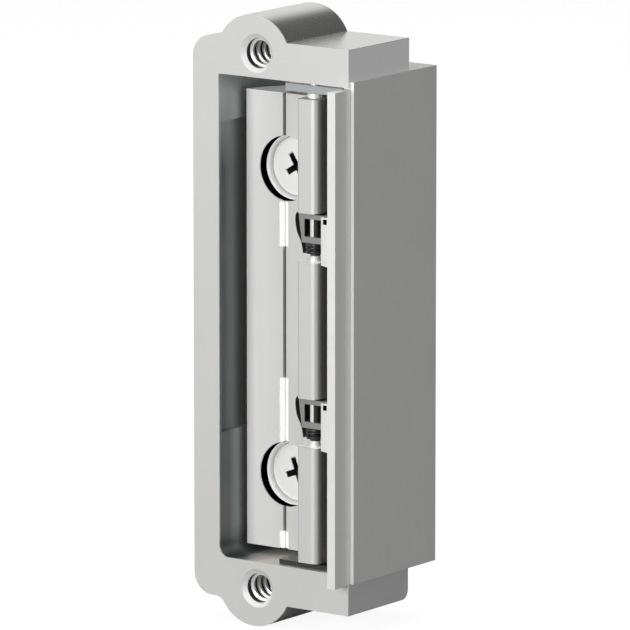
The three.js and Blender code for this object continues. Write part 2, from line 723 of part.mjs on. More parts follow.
// ---- Lock lever ---------------------------------------------------------------------------
function lockLever() {
  const { y, z } = LEVER_PIVOT;
  const { left, right, r } = LEVER_HUB;
  const made = join(
    rod("x", r, left, right, y, z),
    box(LEVER_FOOT.left, LEVER_FOOT.right, LEVER_FOOT.front, LEVER_FOOT.back, LEVER_FOOT.bottom, z),
    box(LEVER_ARM.left, right, LEVER_ARM.front, LEVER_ARM.back, z, LEVER_ARM.top),
    box(LEVER_ARM.left, right, LEVER_NOSE.front, LEVER_ARM.back, LEVER_NOSE.bottom, LEVER_ARM.top),
  );
  return cut(made, rod("x", PIN_R + RUN, left - 1, right + 1, y, z));
}
place("lock", "lock_lever", lockLever(), "bracketSteel");

const crossPin = (radius, pivot) =>
  rod("x", radius, CROSS_PIN.left, CROSS_PIN.right, pivot.y, pivot.z);
place("magnet", "armature_pin", crossPin(ARMATURE_PIN_R, ARMATURE_PIVOT), "screwSteel");
place("lock", "lever_pin", crossPin(PIN_R, LEVER_PIVOT), "screwSteel");

const crossSprings = [
  { group: "magnet", name: "armature_spring", pivot: ARMATURE_PIVOT, radius: 1.2, phase: Math.PI },
  { group: "lock", name: "lever_spring", pivot: LEVER_PIVOT, radius: 1.5, phase: 0 },
];
for (const { group, name, pivot, radius, phase } of crossSprings) {
  const curve = new TorsionCurve({
    axis: "x",
    centre: [pivot.y, pivot.z],
    radius,
    start: LEVER_HUB.right + 0.7,
    end: LEVER_HUB.right + 3.4,
    turns: 4.25,
    legs: [2, 2.2],
    phase,
  });
  place(group, name, wire(curve, 0.25, 60, 3), "springSteel");
}

// ---- Position switch ----------------------------------------------------------------------
function switchBody() {
  const { left, right, front, back, bottom, top } = SWITCH;
  const well = BUTTON.tail + BUTTON.stroke + 0.4;
  let made = box(left, right, front, back, bottom, top);
  made = cut(made, rod("y", BUTTON.r + RUN, front - 1, well, BUTTON.x, BUTTON.z));
  for (const { x } of SWITCH_SCREWS) {
    const { seat, rise, headR, shankR } = SWITCH_SCREW;
    made = cut(
      made,
      rod("y", shankR + 0.15, front - 1, back + 1, x, bottom + rise),
      rod("y", headR + 0.1, front - 1, seat, x, bottom + rise),
    );
  }
  return made;
}
place("switch", "switch_body", switchBody(), "blackPlastic");

const button = join(
  rod("y", BUTTON.r * 0.6, BUTTON.tip, BUTTON.tip + 0.4, BUTTON.x, BUTTON.z, BUTTON.r),
  rod("y", BUTTON.r, BUTTON.tip + 0.4, BUTTON.tail, BUTTON.x, BUTTON.z),
);
place("switch", "switch_button", button, "redPlastic");

for (const { side, x } of SWITCH_SCREWS) {
  const { seat, rise, headR, headHeight, shankR } = SWITCH_SCREW;
  const face = seat - 0.02;
  const z = SWITCH.bottom + rise;
  const made = cut(
    join(
      rod("y", headR, face - headHeight, face, x, z, headR, SMALL_ROUND),
      rod("y", shankR, face - 0.1, 22.4, x, z, shankR, SMALL_ROUND),
    ),
    crossRecess(x, z, face - 2, face - 0.4, 0.75, 0.18),
  );
  place("switch", "switch_screw_" + side, made, "screwSteel");
}

// ---- Terminals and leads ------------------------------------------------------------------
function terminalBlock() {
  const { left, right, front, back, bottom, top } = TERMINAL;
  let made = box(left, right, front, back, bottom, top);
  for (const { x } of TERMINALS) {
    made = cut(
      made,
      rod("y", 2.2, front + 1.5, back + 1, x, TERMINAL_Z),
      box(x - 1.4, x + 1.4, front + 1.5, front + 4.4, TERMINAL_Z, top + 1),
    );
  }
  return made;
}
place("terminals", "terminal_block", terminalBlock(), "greenPlastic");

for (const { side, x } of TERMINALS) {
  const face = 18.4;
  const screw = cut(
    join(
      rod("y", 1.9, face, 20.3, x, TERMINAL_Z, 1.9, SMALL_ROUND),
      rod("y", 1.1, TERMINAL.front + 1.7, face + 0.1, x, TERMINAL_Z, 1.1, SMALL_ROUND),
    ),
    box(x - 3, x + 3, 19.5, 21, TERMINAL_Z - 0.3, TERMINAL_Z + 0.3),
  );
  const clampPlate = cut(
    box(x - 1.45, x + 1.45, face - 0.75, face - 0.05, TERMINAL_Z - 1.45, TERMINAL_Z + 1.45),
    rod("y", 1.2, 16, 20, x, TERMINAL_Z),
  );
  place("terminals", "terminal_screw_" + side, screw, "screwSteel");
  place("terminals", "terminal_clamp_" + side, clampPlate, "screwSteel");
}

const LEADS = [
  { name: "lead_left", terminal: TERMINALS[0], coil: COILS[0], bulge: -1 },
  { name: "lead_right", terminal: TERMINALS[1], coil: COILS[1], bulge: 1 },
];
for (const { name, terminal, coil, bulge } of LEADS) {
  const y = TERMINAL.front + 2.9;
  const curve = new THREE.CatmullRomCurve3([
    new THREE.Vector3(terminal.x, y, TERMINAL.top - 1.6),
    new THREE.Vector3(terminal.x, y, TERMINAL.top + 2),
    new THREE.Vector3(coil.x + bulge * 2, 14.8, -24),
    new THREE.Vector3(coil.x + bulge * 3.2, 13.6, -20.5),
    new THREE.Vector3(coil.x + bulge * 2.6, 13.2, -17.4),
  ]);
  place("terminals", name, wire(curve, 0.45, 16, 4), name === "lead_left" ? "redPlastic" : "blackPlastic");
}

// ---- Whole strike, centred on its bounding box ---------------------------------------------
strike.position.set(-(WIDTH + SHEET) / 2, -(STRIP_FRONT + COVER_BACK) / 2, 0);
strike.name = "electric_door_strike";
const model = new THREE.Group();
model.add(strike);

export default model;
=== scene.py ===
"""Looks of an electric door strike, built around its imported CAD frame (Blender 4.5)."""
import json
import math

import bmesh
import bpy
from mathutils import Matrix, Vector


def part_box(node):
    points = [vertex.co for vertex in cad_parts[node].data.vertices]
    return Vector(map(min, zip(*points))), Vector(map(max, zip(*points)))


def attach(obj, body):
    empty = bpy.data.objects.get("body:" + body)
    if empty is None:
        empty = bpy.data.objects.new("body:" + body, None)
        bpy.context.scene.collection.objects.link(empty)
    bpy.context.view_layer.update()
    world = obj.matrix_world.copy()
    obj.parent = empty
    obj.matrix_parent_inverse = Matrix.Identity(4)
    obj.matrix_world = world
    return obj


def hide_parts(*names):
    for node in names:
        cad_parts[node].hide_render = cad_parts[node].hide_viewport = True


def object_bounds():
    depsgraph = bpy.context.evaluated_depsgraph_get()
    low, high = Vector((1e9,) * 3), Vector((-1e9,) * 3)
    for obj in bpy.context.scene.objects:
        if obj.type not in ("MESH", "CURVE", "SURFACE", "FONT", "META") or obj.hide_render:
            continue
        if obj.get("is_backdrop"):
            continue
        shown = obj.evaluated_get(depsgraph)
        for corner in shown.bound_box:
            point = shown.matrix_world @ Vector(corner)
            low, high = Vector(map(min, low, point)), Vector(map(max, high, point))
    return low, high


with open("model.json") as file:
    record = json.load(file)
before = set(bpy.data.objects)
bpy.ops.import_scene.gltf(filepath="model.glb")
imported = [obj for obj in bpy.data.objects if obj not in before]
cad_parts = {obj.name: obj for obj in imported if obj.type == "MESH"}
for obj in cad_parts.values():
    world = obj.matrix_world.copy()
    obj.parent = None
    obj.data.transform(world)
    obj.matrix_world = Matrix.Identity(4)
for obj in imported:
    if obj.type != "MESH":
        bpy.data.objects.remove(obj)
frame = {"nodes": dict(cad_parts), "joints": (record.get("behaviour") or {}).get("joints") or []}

cad_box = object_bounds()

# ---- Places: millimetres in the strike's own design axes -----------------------------------
# X runs right from the left edge of the case, Y back from the front plane, Z up from mid-height.
MM = 0.001
CASE_LOW, CASE_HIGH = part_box("case_body")
MID_Z = (CASE_LOW.z + CASE_HIGH.z) / 2


def at(x, y, z):
    return Vector((CASE_LOW.x + x * MM, CASE_LOW.y + y * MM, MID_Z + z * MM))


def along(axis, place):
    """A design place on one axis, as a coordinate of the frame."""
    return at(place, place, place)["XYZ".index(axis)]


def design_mm(point):
    return Vector(
        ((point.x - CASE_LOW.x) / MM, (point.y - CASE_LOW.y) / MM, (point.z - MID_Z) / MM)
    )


def box_mm(node):
    """The low and high corners of a CAD node's box."""
    low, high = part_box(node)
    return design_mm(low), design_mm(high)


def round_about_y(node):
    """A piece that is round about Y: x and z of its axis, its radius, its front and its back."""
    low, high = box_mm(node)
    return (low.x + high.x) / 2, (low.z + high.z) / 2, (high.x - low.x) / 2, low.y, high.y


def pivot_mm(joint_name):
    joint = next(j for j in frame["joints"] if j["name"] == joint_name)
    return design_mm(Vector(joint["pos_m"]))


CASE = "strike_case"
FIXING_X, FIXING_Z, FIXING_R = 12.8, 43.9, 2.45
MOUTH_R, MOUTH_DEPTH = FIXING_R + 0.85, 0.6
WINDOW_BASES = (10.9, -19.4)
SEAM_SLOTS = ((11.6, 19), (-20.6, -10), (-39, -35.4))
COUNTERBORE_R, COUNTERBORE_FRONT, COUNTERBORE_BACK = 5.42, 6.6, 11.2
KEEPER_SCREWS = ("keeper_screw_upper", "keeper_screw_lower")


# ---- Node helpers --------------------------------------------------------------------------
class Nodes:
    """A short way to write a material's node tree."""

    def __init__(self, name):
        self.material = bpy.data.materials.new(name)
        self.material.use_nodes = True
        self.tree = self.material.node_tree
        self.tree.nodes.clear()
        self.output = self.add("ShaderNodeOutputMaterial")
        self.surface = self.add("ShaderNodeBsdfPrincipled")
        self.link(self.surface.outputs["BSDF"], self.output.inputs["Surface"])
        self.place = self.add("ShaderNodeTexCoord").outputs["Object"]

    def add(self, kind, **settings):
        node = self.tree.nodes.new(kind)
        for key, value in settings.items():
            setattr(node, key, value)
        return node

    def link(self, source, target):
        self.tree.links.new(source, target)

    def feed(self, socket, value):
        """Gives a socket a fixed value, or the output that drives it."""
        if isinstance(value, (int, float, tuple)):
            socket.default_value = value
        else:
            self.link(value, socket)

    def set(self, **values):
        for key, value in values.items():
            self.feed(self.surface.inputs[key.replace("_", " ").title().replace("Ior", "IOR")], value)

    def driver(self, name):
        """The output that drives one of the surface's inputs."""
        return self.surface.inputs[name].links[0].from_socket

    def noise(self, scale, detail=4.0, roughness=0.6, stretch=(1, 1, 1)):
        mapping = self.add("ShaderNodeMapping")
        mapping.inputs["Scale"].default_value = stretch
        self.link(self.place, mapping.inputs["Vector"])
        noise = self.add("ShaderNodeTexNoise")
        noise.inputs["Scale"].default_value = scale
        noise.inputs["Detail"].default_value = detail
        noise.inputs["Roughness"].default_value = roughness
        self.link(mapping.outputs["Vector"], noise.inputs["Vector"])
        return noise.outputs["Fac"]

    def span(self, value, low, high, to_low, to_high):
        """Carries the stretch from low to high onto the one from to_low to to_high, and clamps."""
        node = self.add("ShaderNodeMapRange")
        node.inputs["From Min"].default_value = low
        node.inputs["From Max"].default_value = high
        node.inputs["To Min"].default_value = to_low
        node.inputs["To Max"].default_value = to_high
        self.link(value, node.inputs["Value"])
        return node.outputs["Result"]

    def math(self, operation, a, b):
        node = self.add("ShaderNodeMath", operation=operation)
        self.feed(node.inputs[0], a)
        self.feed(node.inputs[1], b)
        return node.outputs["Value"]

    def product(self, first, *others):
        for other in others:
            first = self.math("MULTIPLY", first, other)
        return first

    def outside(self, mask):
        return self.math("SUBTRACT", 1.0, mask)

    def mix(self, factor, a, b):
        node = self.add("ShaderNodeMix", data_type="RGBA")
        sockets = {socket.name + socket.type: socket for socket in node.inputs}
        self.feed(sockets["FactorVALUE"], factor)
        self.feed(sockets["ARGBA"], a)
        self.feed(sockets["BRGBA"], b)
        return next(socket for socket in node.outputs if socket.type == "RGBA")

    def bump(self, height, distance, strength, below=None):
        node = self.add("ShaderNodeBump")
        node.inputs["Distance"].default_value = distance
        node.inputs["Strength"].default_value = strength
        self.link(height, node.inputs["Height"])
        if below is not None:
            self.link(below, node.inputs["Normal"])
        return node.outputs["Normal"]

    # Masks by place. All places and sizes are design millimetres.
    def coordinate(self, axis):
        split = self.add("ShaderNodeSeparateXYZ")
        self.link(self.place, split.inputs["Vector"])
        return split.outputs[axis]

    def ramp(self, axis, start, end, at_start, at_end):
        """A value that runs from at_start to at_end between two places on an axis."""
        return self.span(self.coordinate(axis), along(axis, start), along(axis, end), at_start, at_end)

    def behind(self, depth, soft=0.05):
        return self.ramp("Y", depth, depth + soft, 0.0, 1.0)

    def inside_box(self, x_span, y_span, z_span, soft=0.04):
        edges = []
        for axis, (low, high) in zip("XYZ", (x_span, y_span, z_span)):
            edges.append(self.ramp(axis, low - soft, low + soft, 0.0, 1.0))
            edges.append(self.ramp(axis, high - soft, high + soft, 1.0, 0.0))
        return self.product(*edges)

    def inside_rod(self, x, z, radius, front, soft=0.02):
        """1 near a line along Y, from a depth backwards."""
        across = self.math("SUBTRACT", self.coordinate("X"), along("X", x))
        upward = self.math("SUBTRACT", self.coordinate("Z"), along("Z", z))
        square = self.math("ADD", self.product(across, across), self.product(upward, upward))
        distance = self.math("SQRT", square, 0.0)
        near = self.span(distance, (radius - soft) * MM, (radius + soft) * MM, 1.0, 0.0)
        return self.product(near, self.behind(front))


# ---- Materials -----------------------------------------------------------------------------
WARM = (1.0, 1.0, 0.975)
COOL = (0.93, 1.0, 1.0)
OLIVE = (1.0, 0.98, 0.92)
STEEL_BLUE = (0.84, 0.98, 1.04)
SANDY = (1.0, 0.95, 0.88)
DUSTY = (1.0, 0.95, 0.9)
BRASSY = (1.0, 0.97, 0.88)
COPPER = (1.0, 0.42, 0.2)


def grey(level, tint=(1.0, 1.0, 1.0)):
    return (level * tint[0], level * tint[1], level * tint[2], 1.0)


def edge_wear(n, radius=0.16):
    """1 on the broken edges of a piece and 0 on its faces, with a ragged border."""
    rounded = n.add("ShaderNodeBevel", samples=6)
    rounded.inputs["Radius"].default_value = radius * MM
    true_normal = n.add("ShaderNodeNewGeometry").outputs["Normal"]
    dot = n.add("ShaderNodeVectorMath", operation="DOT_PRODUCT")
    n.link(rounded.outputs["Normal"], dot.inputs[0])
    n.link(true_normal, dot.inputs[1])
    ragged = n.product(n.noise(900.0, 3.0), 0.03)
    return n.span(n.math("ADD", dot.outputs["Value"], ragged), 0.93, 1.0, 1.0, 0.0)


def metal(name, level, tint, roughness, metallic=0.85, grain=0.03, brush=None, edge=0.35, relief=1.0):
    """Satin metal: a base grey with broad tone changes, a fine grain, and brighter worn edges.

    brush stretches the grain into lines, edge says how bright the wear is, and relief how deep
    the grain of an unbrushed metal is.
    """
    n = Nodes(name)
    tone = n.span(n.noise(60.0, 3.0, 0.5), 0.3, 0.7, 0.0, 1.0)
    colour = n.mix(tone, grey(level * 0.97, tint), grey(level * 1.02, tint))
    speck_grey = grey(level * 0.94, tint)
    fine = n.noise(2600.0, 5.0, 0.65)
    colour = n.mix(n.span(fine, 0.35, 0.75, 0.0, 0.5), colour, speck_grey)
    if brush is None:
        rough = n.span(fine, 0.3, 0.75, roughness - grain, roughness + grain)
        normal = n.bump(fine, 0.005 * MM * relief, 0.4)
    else:
        lines = n.noise(900.0, 6.0, 0.7, brush)
        rough = n.span(lines, 0.3, 0.7, roughness - grain * 1.5, roughness + grain * 1.5)
        colour = n.mix(n.span(lines, 0.35, 0.7, 0.0, 0.3), colour, speck_grey)
        normal = n.bump(lines, 0.004 * MM, 0.35)
        normal = n.bump(fine, 0.003 * MM, 0.3, normal)
    if edge:
        bright = grey(min(level * 1.3, 0.95), tint)
        colour = n.mix(n.product(edge_wear(n), edge), colour, bright)
    n.set(base_color=colour, metallic=metallic, roughness=rough)
    n.link(normal, n.surface.inputs["Normal"])
    return n


def plastic(name, colour, roughness):
    """Moulded plastic: an even colour with a faint mottle and a spark-eroded grain."""
    n = Nodes(name)
    mottle = n.noise(300.0)
    darker = tuple(channel * 0.8 for channel in colour) + (1.0,)
    n.set(
        base_color=n.mix(n.span(mottle, 0.3, 0.7, 0.0, 0.6), colour + (1.0,), darker),
        roughness=n.span(mottle, 0.3, 0.7, roughness - 0.06, roughness + 0.06),
    )
    n.link(n.bump(n.noise(4000.0, 3.0, 0.5), 0.01 * MM, 0.6), n.surface.inputs["Normal"])
    return n.material


def pocket_painted_shading(n):
    """Painted shade on the pocket's walls, lighter towards the plate and the top, with a painted shadow in
    its lower left corner, a floor painted lighter towards the right, painted light streaks high on its
    back, and the glow that stands for a reflection there.
    """
    cloudy = n.span(n.noise(420.0, stretch=(1, 1, 0.35)), 0.3, 0.7, 0, 1)
    # Painted shade: dark, bluish walls, painted lighter towards the plate and towards the top.
    painted_shading = n.mix(cloudy, grey(0.11, STEEL_BLUE), grey(0.15, COOL))
    painted_shading = n.mix(n.ramp("Y", 2.6, 5, 0.0, 0.9), painted_shading, grey(0.40, COOL))
    painted_shading = n.mix(n.ramp("Z", 24, 40, 0.0, 0.9), painted_shading, grey(0.55, COOL))
    # A painted shadow in the lower left corner, and the floor painted lighter towards the right.
    corner = n.product(n.ramp("Z", -39, -35, 0.7, 0.0), n.ramp("X", 8, 9, 1.0, 0.0))
    painted_shading = n.mix(corner, painted_shading, grey(0.04, COOL))
    floor = n.product(n.ramp("X", 8.5, 13, 0.0, 1.0), n.ramp("Z", -39.4, -39.3, 1.0, 0.0))
    painted_shading = n.mix(floor, painted_shading, grey(0.66, SANDY))
    # Painted light streaks high on the back wall, which also glow a little as a painted reflection.
    streaks = n.span(n.noise(260.0, 2.0, 0.4, (1, 0.05, 0.05)), 0.4, 0.6, 0.3, 1.0)
    top_of_back = n.product(n.behind(20.6), n.ramp("Z", 33, 34, 0.0, 1.0))
    painted_shading = n.mix(top_of_back, painted_shading, n.mix(streaks, grey(0.3, COOL), grey(0.95, WARM)))
    return painted_shading, n.product(top_of_back, streaks, 0.3)


def case_material():
    """Plated die casting: bright round its ends, with painted light and shade in the pocket, painted black
    shade in the fixing bores, and a right side painted darker towards the bottom.
    """
    cast_metallic, shiny_metallic, shiny_roughness = 0.4, 0.9, 0.24
    n = metal("plated_casting", 0.60, WARM, 0.40, cast_metallic, 0.04, relief=0.04)
    pocket = n.inside_box((4.0, 40), (0.25, 21.3), (-39.56, 40.06))
    painted_shading, glow = pocket_painted_shading(n)
    colour = n.mix(pocket, n.driver("Base Color"), painted_shading)
    from_middle = n.math("ABSOLUTE", n.math("SUBTRACT", n.coordinate("Z"), MID_Z), 0.0)
    shiny = n.product(n.span(from_middle, 46.0 * MM, 46.06 * MM, 0.0, 1.0), n.behind(0.2))
    for z in (FIXING_Z, -FIXING_Z):
        mouth = n.inside_rod(FIXING_X, z, MOUTH_R, 0.02)
        bore = n.inside_rod(FIXING_X, z, FIXING_R + 0.1, MOUTH_DEPTH + 0.02)
        colour = n.mix(mouth, colour, grey(0.8))
        # Behind its mouth each bore is painted black, as painted shade.
        colour = n.mix(bore, colour, grey(0.01))
        shiny = n.product(shiny, n.outside(mouth))
    colour = n.mix(shiny, colour, grey(0.9, WARM))
    # Painted shade: the right side grows darker towards the bottom.
    right_side = n.product(n.ramp("X", 30.9, 30.95, 0.0, 1.0), n.behind(0.2))
    colour = n.mix(right_side, colour, n.mix(n.ramp("Z", -43, 43, 0, 1), grey(0.45), grey(0.66)))
    rougher = n.math("SUBTRACT", n.driver("Roughness"), shiny_roughness)
    n.set(
        base_color=colour,
        metallic=n.span(shiny, 0, 1, cast_metallic, shiny_metallic),
        roughness=n.math("ADD", n.product(rougher, n.outside(shiny)), shiny_roughness),
        emission_color=grey(1.0, COOL),
        emission_strength=n.product(glow, pocket),
    )
    return n.material


def keeper_windows(n, colour, glow):
    """Painted shade in the niches and hollows round the two windows, and a painted light on the sill under
    each, which also glows a little.
    """
    for base in WINDOW_BASES:
        niche = n.inside_box((15.2, 30), (6.5, 9), (base + 0.06, base + 7.2))
        colour = n.mix(niche, colour, grey(0.05, OLIVE))
        hollow = n.inside_box((20.4, 30), (0.5, 6.3), (base + 0.06, base + 8))
        colour = n.mix(hollow, colour, grey(0.04, OLIVE))
        sill = n.inside_box((17.35, 26), (0.5, 9), (base - 0.05, base + 0.05), 0.01)
        colour = n.mix(sill, colour, grey(0.95, WARM))
        glow = n.math("ADD", glow, n.product(sill, 0.25))
    return colour, glow


def keeper_counterbores(n, colour, glow):
    """Counterbores painted black at their mouth as painted shade, and bright at their root as a painted
    reflection that also glows a little. Also returns the black part.
    """
    root = 8.55
    wavy = n.product(n.noise(180.0, 2.0), 0.5 * MM)
    depth = n.math("ADD", n.coordinate("Y"), wavy)
    bright = n.span(depth, along("Y", root), along("Y", root + 0.08), 0.0, 1.0)
    bores = []
    for node in KEEPER_SCREWS:
        x, z = round_about_y(node)[:2]
        bore = n.inside_rod(x, z, COUNTERBORE_R, COUNTERBORE_FRONT)
        bores.append(n.product(bore, n.outside(n.behind(COUNTERBORE_BACK))))
    both = n.math("ADD", *bores)
    colour = n.mix(both, colour, n.mix(bright, grey(0.0), grey(0.95)))
    glow = n.math("ADD", glow, n.product(both, bright, 0.3))
    return colour, glow, n.product(both, n.outside(bright))


def keeper_material():
    """Satin keeper with painted light and shade: painted shade in its niches, in its counterbores, on the
    side of the barrel and on the barrel's front, and painted light on the left of its plate, on the
    plate's top, in its seam slots and on its sills.
    """
    specular, metallic = 0.5, 0.25
    n = metal("satin_keeper", 0.58, WARM, 0.42, metallic, brush=(1, 1, 0.03))
    # Painted light on the left of the plate, and painted shade on the front of the barrel.
    colour = n.mix(n.ramp("X", 8, 14, 0.5, 0.0), n.driver("Base Color"), grey(0.86, WARM))
    barrel_front = n.outside(n.behind(1.0, 1.0))
    colour = n.mix(n.product(barrel_front, 0.5), colour, grey(0.52, WARM))
    # Painted light on the plate's top, which also glows a little.
    plate_top = n.inside_box((5, 13.6), (6.1, 13), (36.74, 37), 0.02)
    colour = n.mix(plate_top, colour, grey(0.78, COOL))
    # Painted shade on the right side of the barrel, darker towards the back.
    shade = n.mix(n.ramp("Y", 0.5, 7, 0.0, 1.0), grey(0.32, OLIVE), grey(0.06, OLIVE))
    colour = n.mix(n.ramp("X", 24.3, 24.4, 0.0, 1.0), colour, shade)
    seam = n.inside_box((13.25, 14.0), (6.9, 12), (-40, 40))
    colour = n.mix(seam, colour, grey(0.34, DUSTY))
    glow = n.product(plate_top, 0.12)
    # The seam slots are painted bright and glow a little, as painted light.
    for z_span in SEAM_SLOTS:
        slot = n.inside_box((12.3, 14.5), (6.45, 7.5), z_span)
        colour = n.mix(slot, colour, grey(0.95, WARM))
        glow = n.math("ADD", glow, n.product(slot, 0.06))
    colour, glow = keeper_windows(n, colour, glow)
    colour, glow, black = keeper_counterbores(n, colour, glow)
    n.set(
        base_color=colour,
        specular_ior_level=n.span(black, 0, 1, specular, 0.0),
        metallic=n.span(black, 0, 1, metallic, 0.0),
        emission_color=grey(1.0, WARM),
        emission_strength=glow,
    )
    return n.material


def bracket_material():
    """Bright bracket, with painted shade where it lies inside the case and on its outer face."""
    n = metal("bright_bracket", 0.72, WARM, 0.4, 0.35, brush=(0.03, 1, 1), edge=0.5)
    cradles, cups, lug_holes = [], [], []
    for base in WINDOW_BASES:
        cradles.append(((18, 25.55), (1.1, 6), (base + 2, base + 8)))
        cups.append(((18, 29), (1.25, 6), (base + 4.02, base + 6.88)))
        lug_holes.append(((25.9, 26.8), (0.12, 2), (base + 6.5, base + 7.45)))
    top_tab = ((17, 29.3), (0.9, 1.1), (38, 40))
    inner_face = ((29.2, 29.5), (0.3, 22), (-39, 39))
    foot_tab = ((10, 29.4), (0.5, 13), (-39.6, -38.4))
    colour = n.driver("Base Color")
    # Painted shade on the cradles, cups, lug holes, top tab, inner face and foot tab.
    for boxes, tone in (
        (cradles, grey(0.25, WARM)),
        (cups, grey(0.03, OLIVE)),
        (lug_holes, grey(0.04, OLIVE)),
        ([top_tab], grey(0.38, COOL)),
        ([inner_face], grey(0.16, OLIVE)),
        ([foot_tab], grey(0.035, OLIVE)),
    ):
        for box in boxes:
            colour = n.mix(n.inside_box(*box), colour, tone)
    # Painted shade: the outer face is darker than the front.
    outer_face = n.ramp("X", 30.9, 30.94, 0.0, 1.0)
    n.set(base_color=n.mix(outer_face, colour, grey(0.56, WARM)))
    return n.material


def sheet_material():
    """Rolled sheet with a painted highlight along its front edge."""
    n = metal("rolled_sheet", 0.56, WARM, 0.42, 0.5, brush=(1, 1, 0.02))
    # A painted highlight along the front edge.
    painted_edge_highlight = n.outside(n.behind(0.72, 0.06))
    n.set(base_color=n.mix(painted_edge_highlight, n.driver("Base Color"), grey(0.9, WARM)))
    return n.material


def pin_material():
    """Ground pin: bright, but painted black as painted shade where it crosses a spring, and on its right
    side in the windows.
    """
    n = metal("ground_pin", 0.8, WARM, 0.34, 0.3, 0.02, edge=0.0, relief=0.1)
    colour = n.driver("Base Color")
    for base in WINDOW_BASES:
        # Painted shade where the pin crosses a spring, and on its right side in the windows.
        painted_niche_shade = n.inside_box((20, 26), (0, 5), (base + 0.9, base + 3))
        colour = n.mix(painted_niche_shade, colour, grey(0.05, OLIVE))
        shaded = n.inside_box((23, 26), (0, 5), (base + 3.9, base + 7.1))
        colour = n.mix(shaded, colour, grey(0.04, OLIVE))
    n.set(base_color=colour)
    return n.material


def keeper_screw_material():
    """Bright screw head, painted black as painted shade in its recess and in a shadow line round its rim.
    """
    specular, metallic, rim_depth = 0.5, 0.3, 0.14
    n = metal("bright_head", 0.88, WARM, 0.36, metallic, edge=0.0, relief=0.3)
    face = box_mm(KEEPER_SCREWS[0])[0].y
    sunk = n.behind(face + rim_depth, 0.1)
    n.set(
        base_color=n.mix(sunk, n.driver("Base Color"), grey(0.01)),
        specular_ior_level=n.span(sunk, 0, 1, specular, 0.0),
        metallic=n.span(sunk, 0, 1, metallic, 0.0),
    )
    return n.material


MATERIALS = {
    "casting": case_material(),
    "sheet": sheet_material(),
    "bracket": bracket_material(),
    "keeper": keeper_material(),
    "screw": metal("bright_screw", 0.66, WARM, 0.3, 0.4).material,
    "pin": pin_material(),
    "keeper_screw": keeper_screw_material(),
    # Spring wire: dark, and darkened further as painted shade for the dark keeper windows.
    "spring": metal("drawn_wire", 0.035, COOL, 0.36, 0.6, edge=0.0).material,
    "iron": metal("plated_iron", 0.40, COOL, 0.42, grain=0.05).material,
    "lever": metal("pressed_lever", 0.50, BRASSY, 0.35, grain=0.04).material,
    "thread": metal("cut_thread", 0.9, WARM, 0.3, 0.3, 0.02, edge=0.0).material,
    "copper": metal("enamelled_copper", 0.5, COPPER, 0.28, 0.8, 0.05).material,
    "bobbin": plastic("natural_nylon", (0.78, 0.74, 0.62), 0.42),
    "black": plastic("black_moulding", (0.018, 0.018, 0.02), 0.42),
    "green": plastic("green_moulding", (0.03, 0.17, 0.075), 0.4),
    "red": plastic("red_moulding", (0.5, 0.022, 0.018), 0.32),
    "lead_red": plastic("red_lead", (0.45, 0.02, 0.016), 0.36),
    "lead_black": plastic("black_lead", (0.02, 0.02, 0.022), 0.36),
}


# ---- CAD nodes: planar faces merged, edges broken, and a material --------------------------
def dress(name, material):
    """Gives a CAD node its material, and smooth shading in place of its own normals."""
    piece = frame["nodes"][name]
    mesh = piece.data
    mesh.materials.clear()
    mesh.materials.append(MATERIALS[material])
    if "custom_normal" in mesh.attributes:
        mesh.attributes.remove(mesh.attributes["custom_normal"])
    mesh.polygons.foreach_set("use_smooth", [True] * len(mesh.polygons))
    return piece


def weld_corners(piece):
    weld = piece.modifiers.new("weld", "WELD")
    weld.merge_threshold = 0.002 * MM


def soften(piece, edge, segments):
    """Merges flat faces and breaks the sharp edges; edge is in millimetres."""
    weld_corners(piece)
    flat = piece.modifiers.new("merge_flat_faces", "DECIMATE")
    flat.decimate_type = "DISSOLVE"
    flat.angle_limit = math.radians(0.6)
    bevel = piece.modifiers.new("broken_edges", "BEVEL")
    bevel.width = edge * MM
    bevel.segments = segments
    bevel.limit_method = "ANGLE"
    bevel.angle_limit = math.radians(32)
    bevel.harden_normals = True
    normals = piece.modifiers.new("even_shading", "WEIGHTED_NORMAL")
    normals.mode = "FACE_AREA_WITH_ANGLE"
    normals.weight = 60


# Each node's material, the width of its broken edges in millimetres, and their segments.
DRESS = {
    "case_body": ("casting", 0.22, 3),
    "side_cover": ("sheet", 0.1, 2),
    "hinge_bracket": ("bracket", 0.09, 2),
    "hinge_pin": ("pin", 0.15, 2),
    "hinge_washer": ("pin", 0.08, 2),
    "keeper_body": ("keeper", 0.12, 2),
    "keeper_plate": ("keeper", 0.12, 2),
    "bracket_screw_upper": ("screw", 0.12, 2),
    "bracket_screw_lower": ("screw", 0.12, 2),
    "magnet_yoke": ("iron", 0.12, 2),
    "core_left": ("iron", 0.12, 2),
    "core_right": ("iron", 0.12, 2),
    "armature": ("iron", 0.1, 2),
    "armature_pin": ("screw", 0.1, 2),
    "lock_lever": ("lever", 0.15, 2),
    "lever_pin": ("screw", 0.1, 2),
    "bobbin_left": ("bobbin", 0.1, 2),
    "bobbin_right": ("bobbin", 0.1, 2),
    "switch_body": ("black", 0.15, 2),
    "switch_button": ("red", 0.08, 2),
    "terminal_block": ("green", 0.15, 2),
    "terminal_clamp_left": ("screw", 0.06, 2),
    "terminal_clamp_right": ("screw", 0.06, 2),
    "terminal_screw_left": ("screw", 0.1, 2),
    "terminal_screw_right": ("screw", 0.1, 2),
}
for node_name, (finish, edge_mm, steps) in DRESS.items():
    soften(dress(node_name, finish), edge_mm, steps)

done = set(DRESS)


# ---- Mesh building -------------------------------------------------------------------------
def object_from(name, bm):
    """A new object in the scene from a bmesh, with its faces turned outwards."""
    mesh = bpy.data.meshes.new(name)
    bmesh.ops.recalc_face_normals(bm, faces=bm.faces)
    bm.to_mesh(mesh)
    bm.free()
    piece = bpy.data.objects.new(name, mesh)
    bpy.context.scene.collection.objects.link(piece)
    return piece


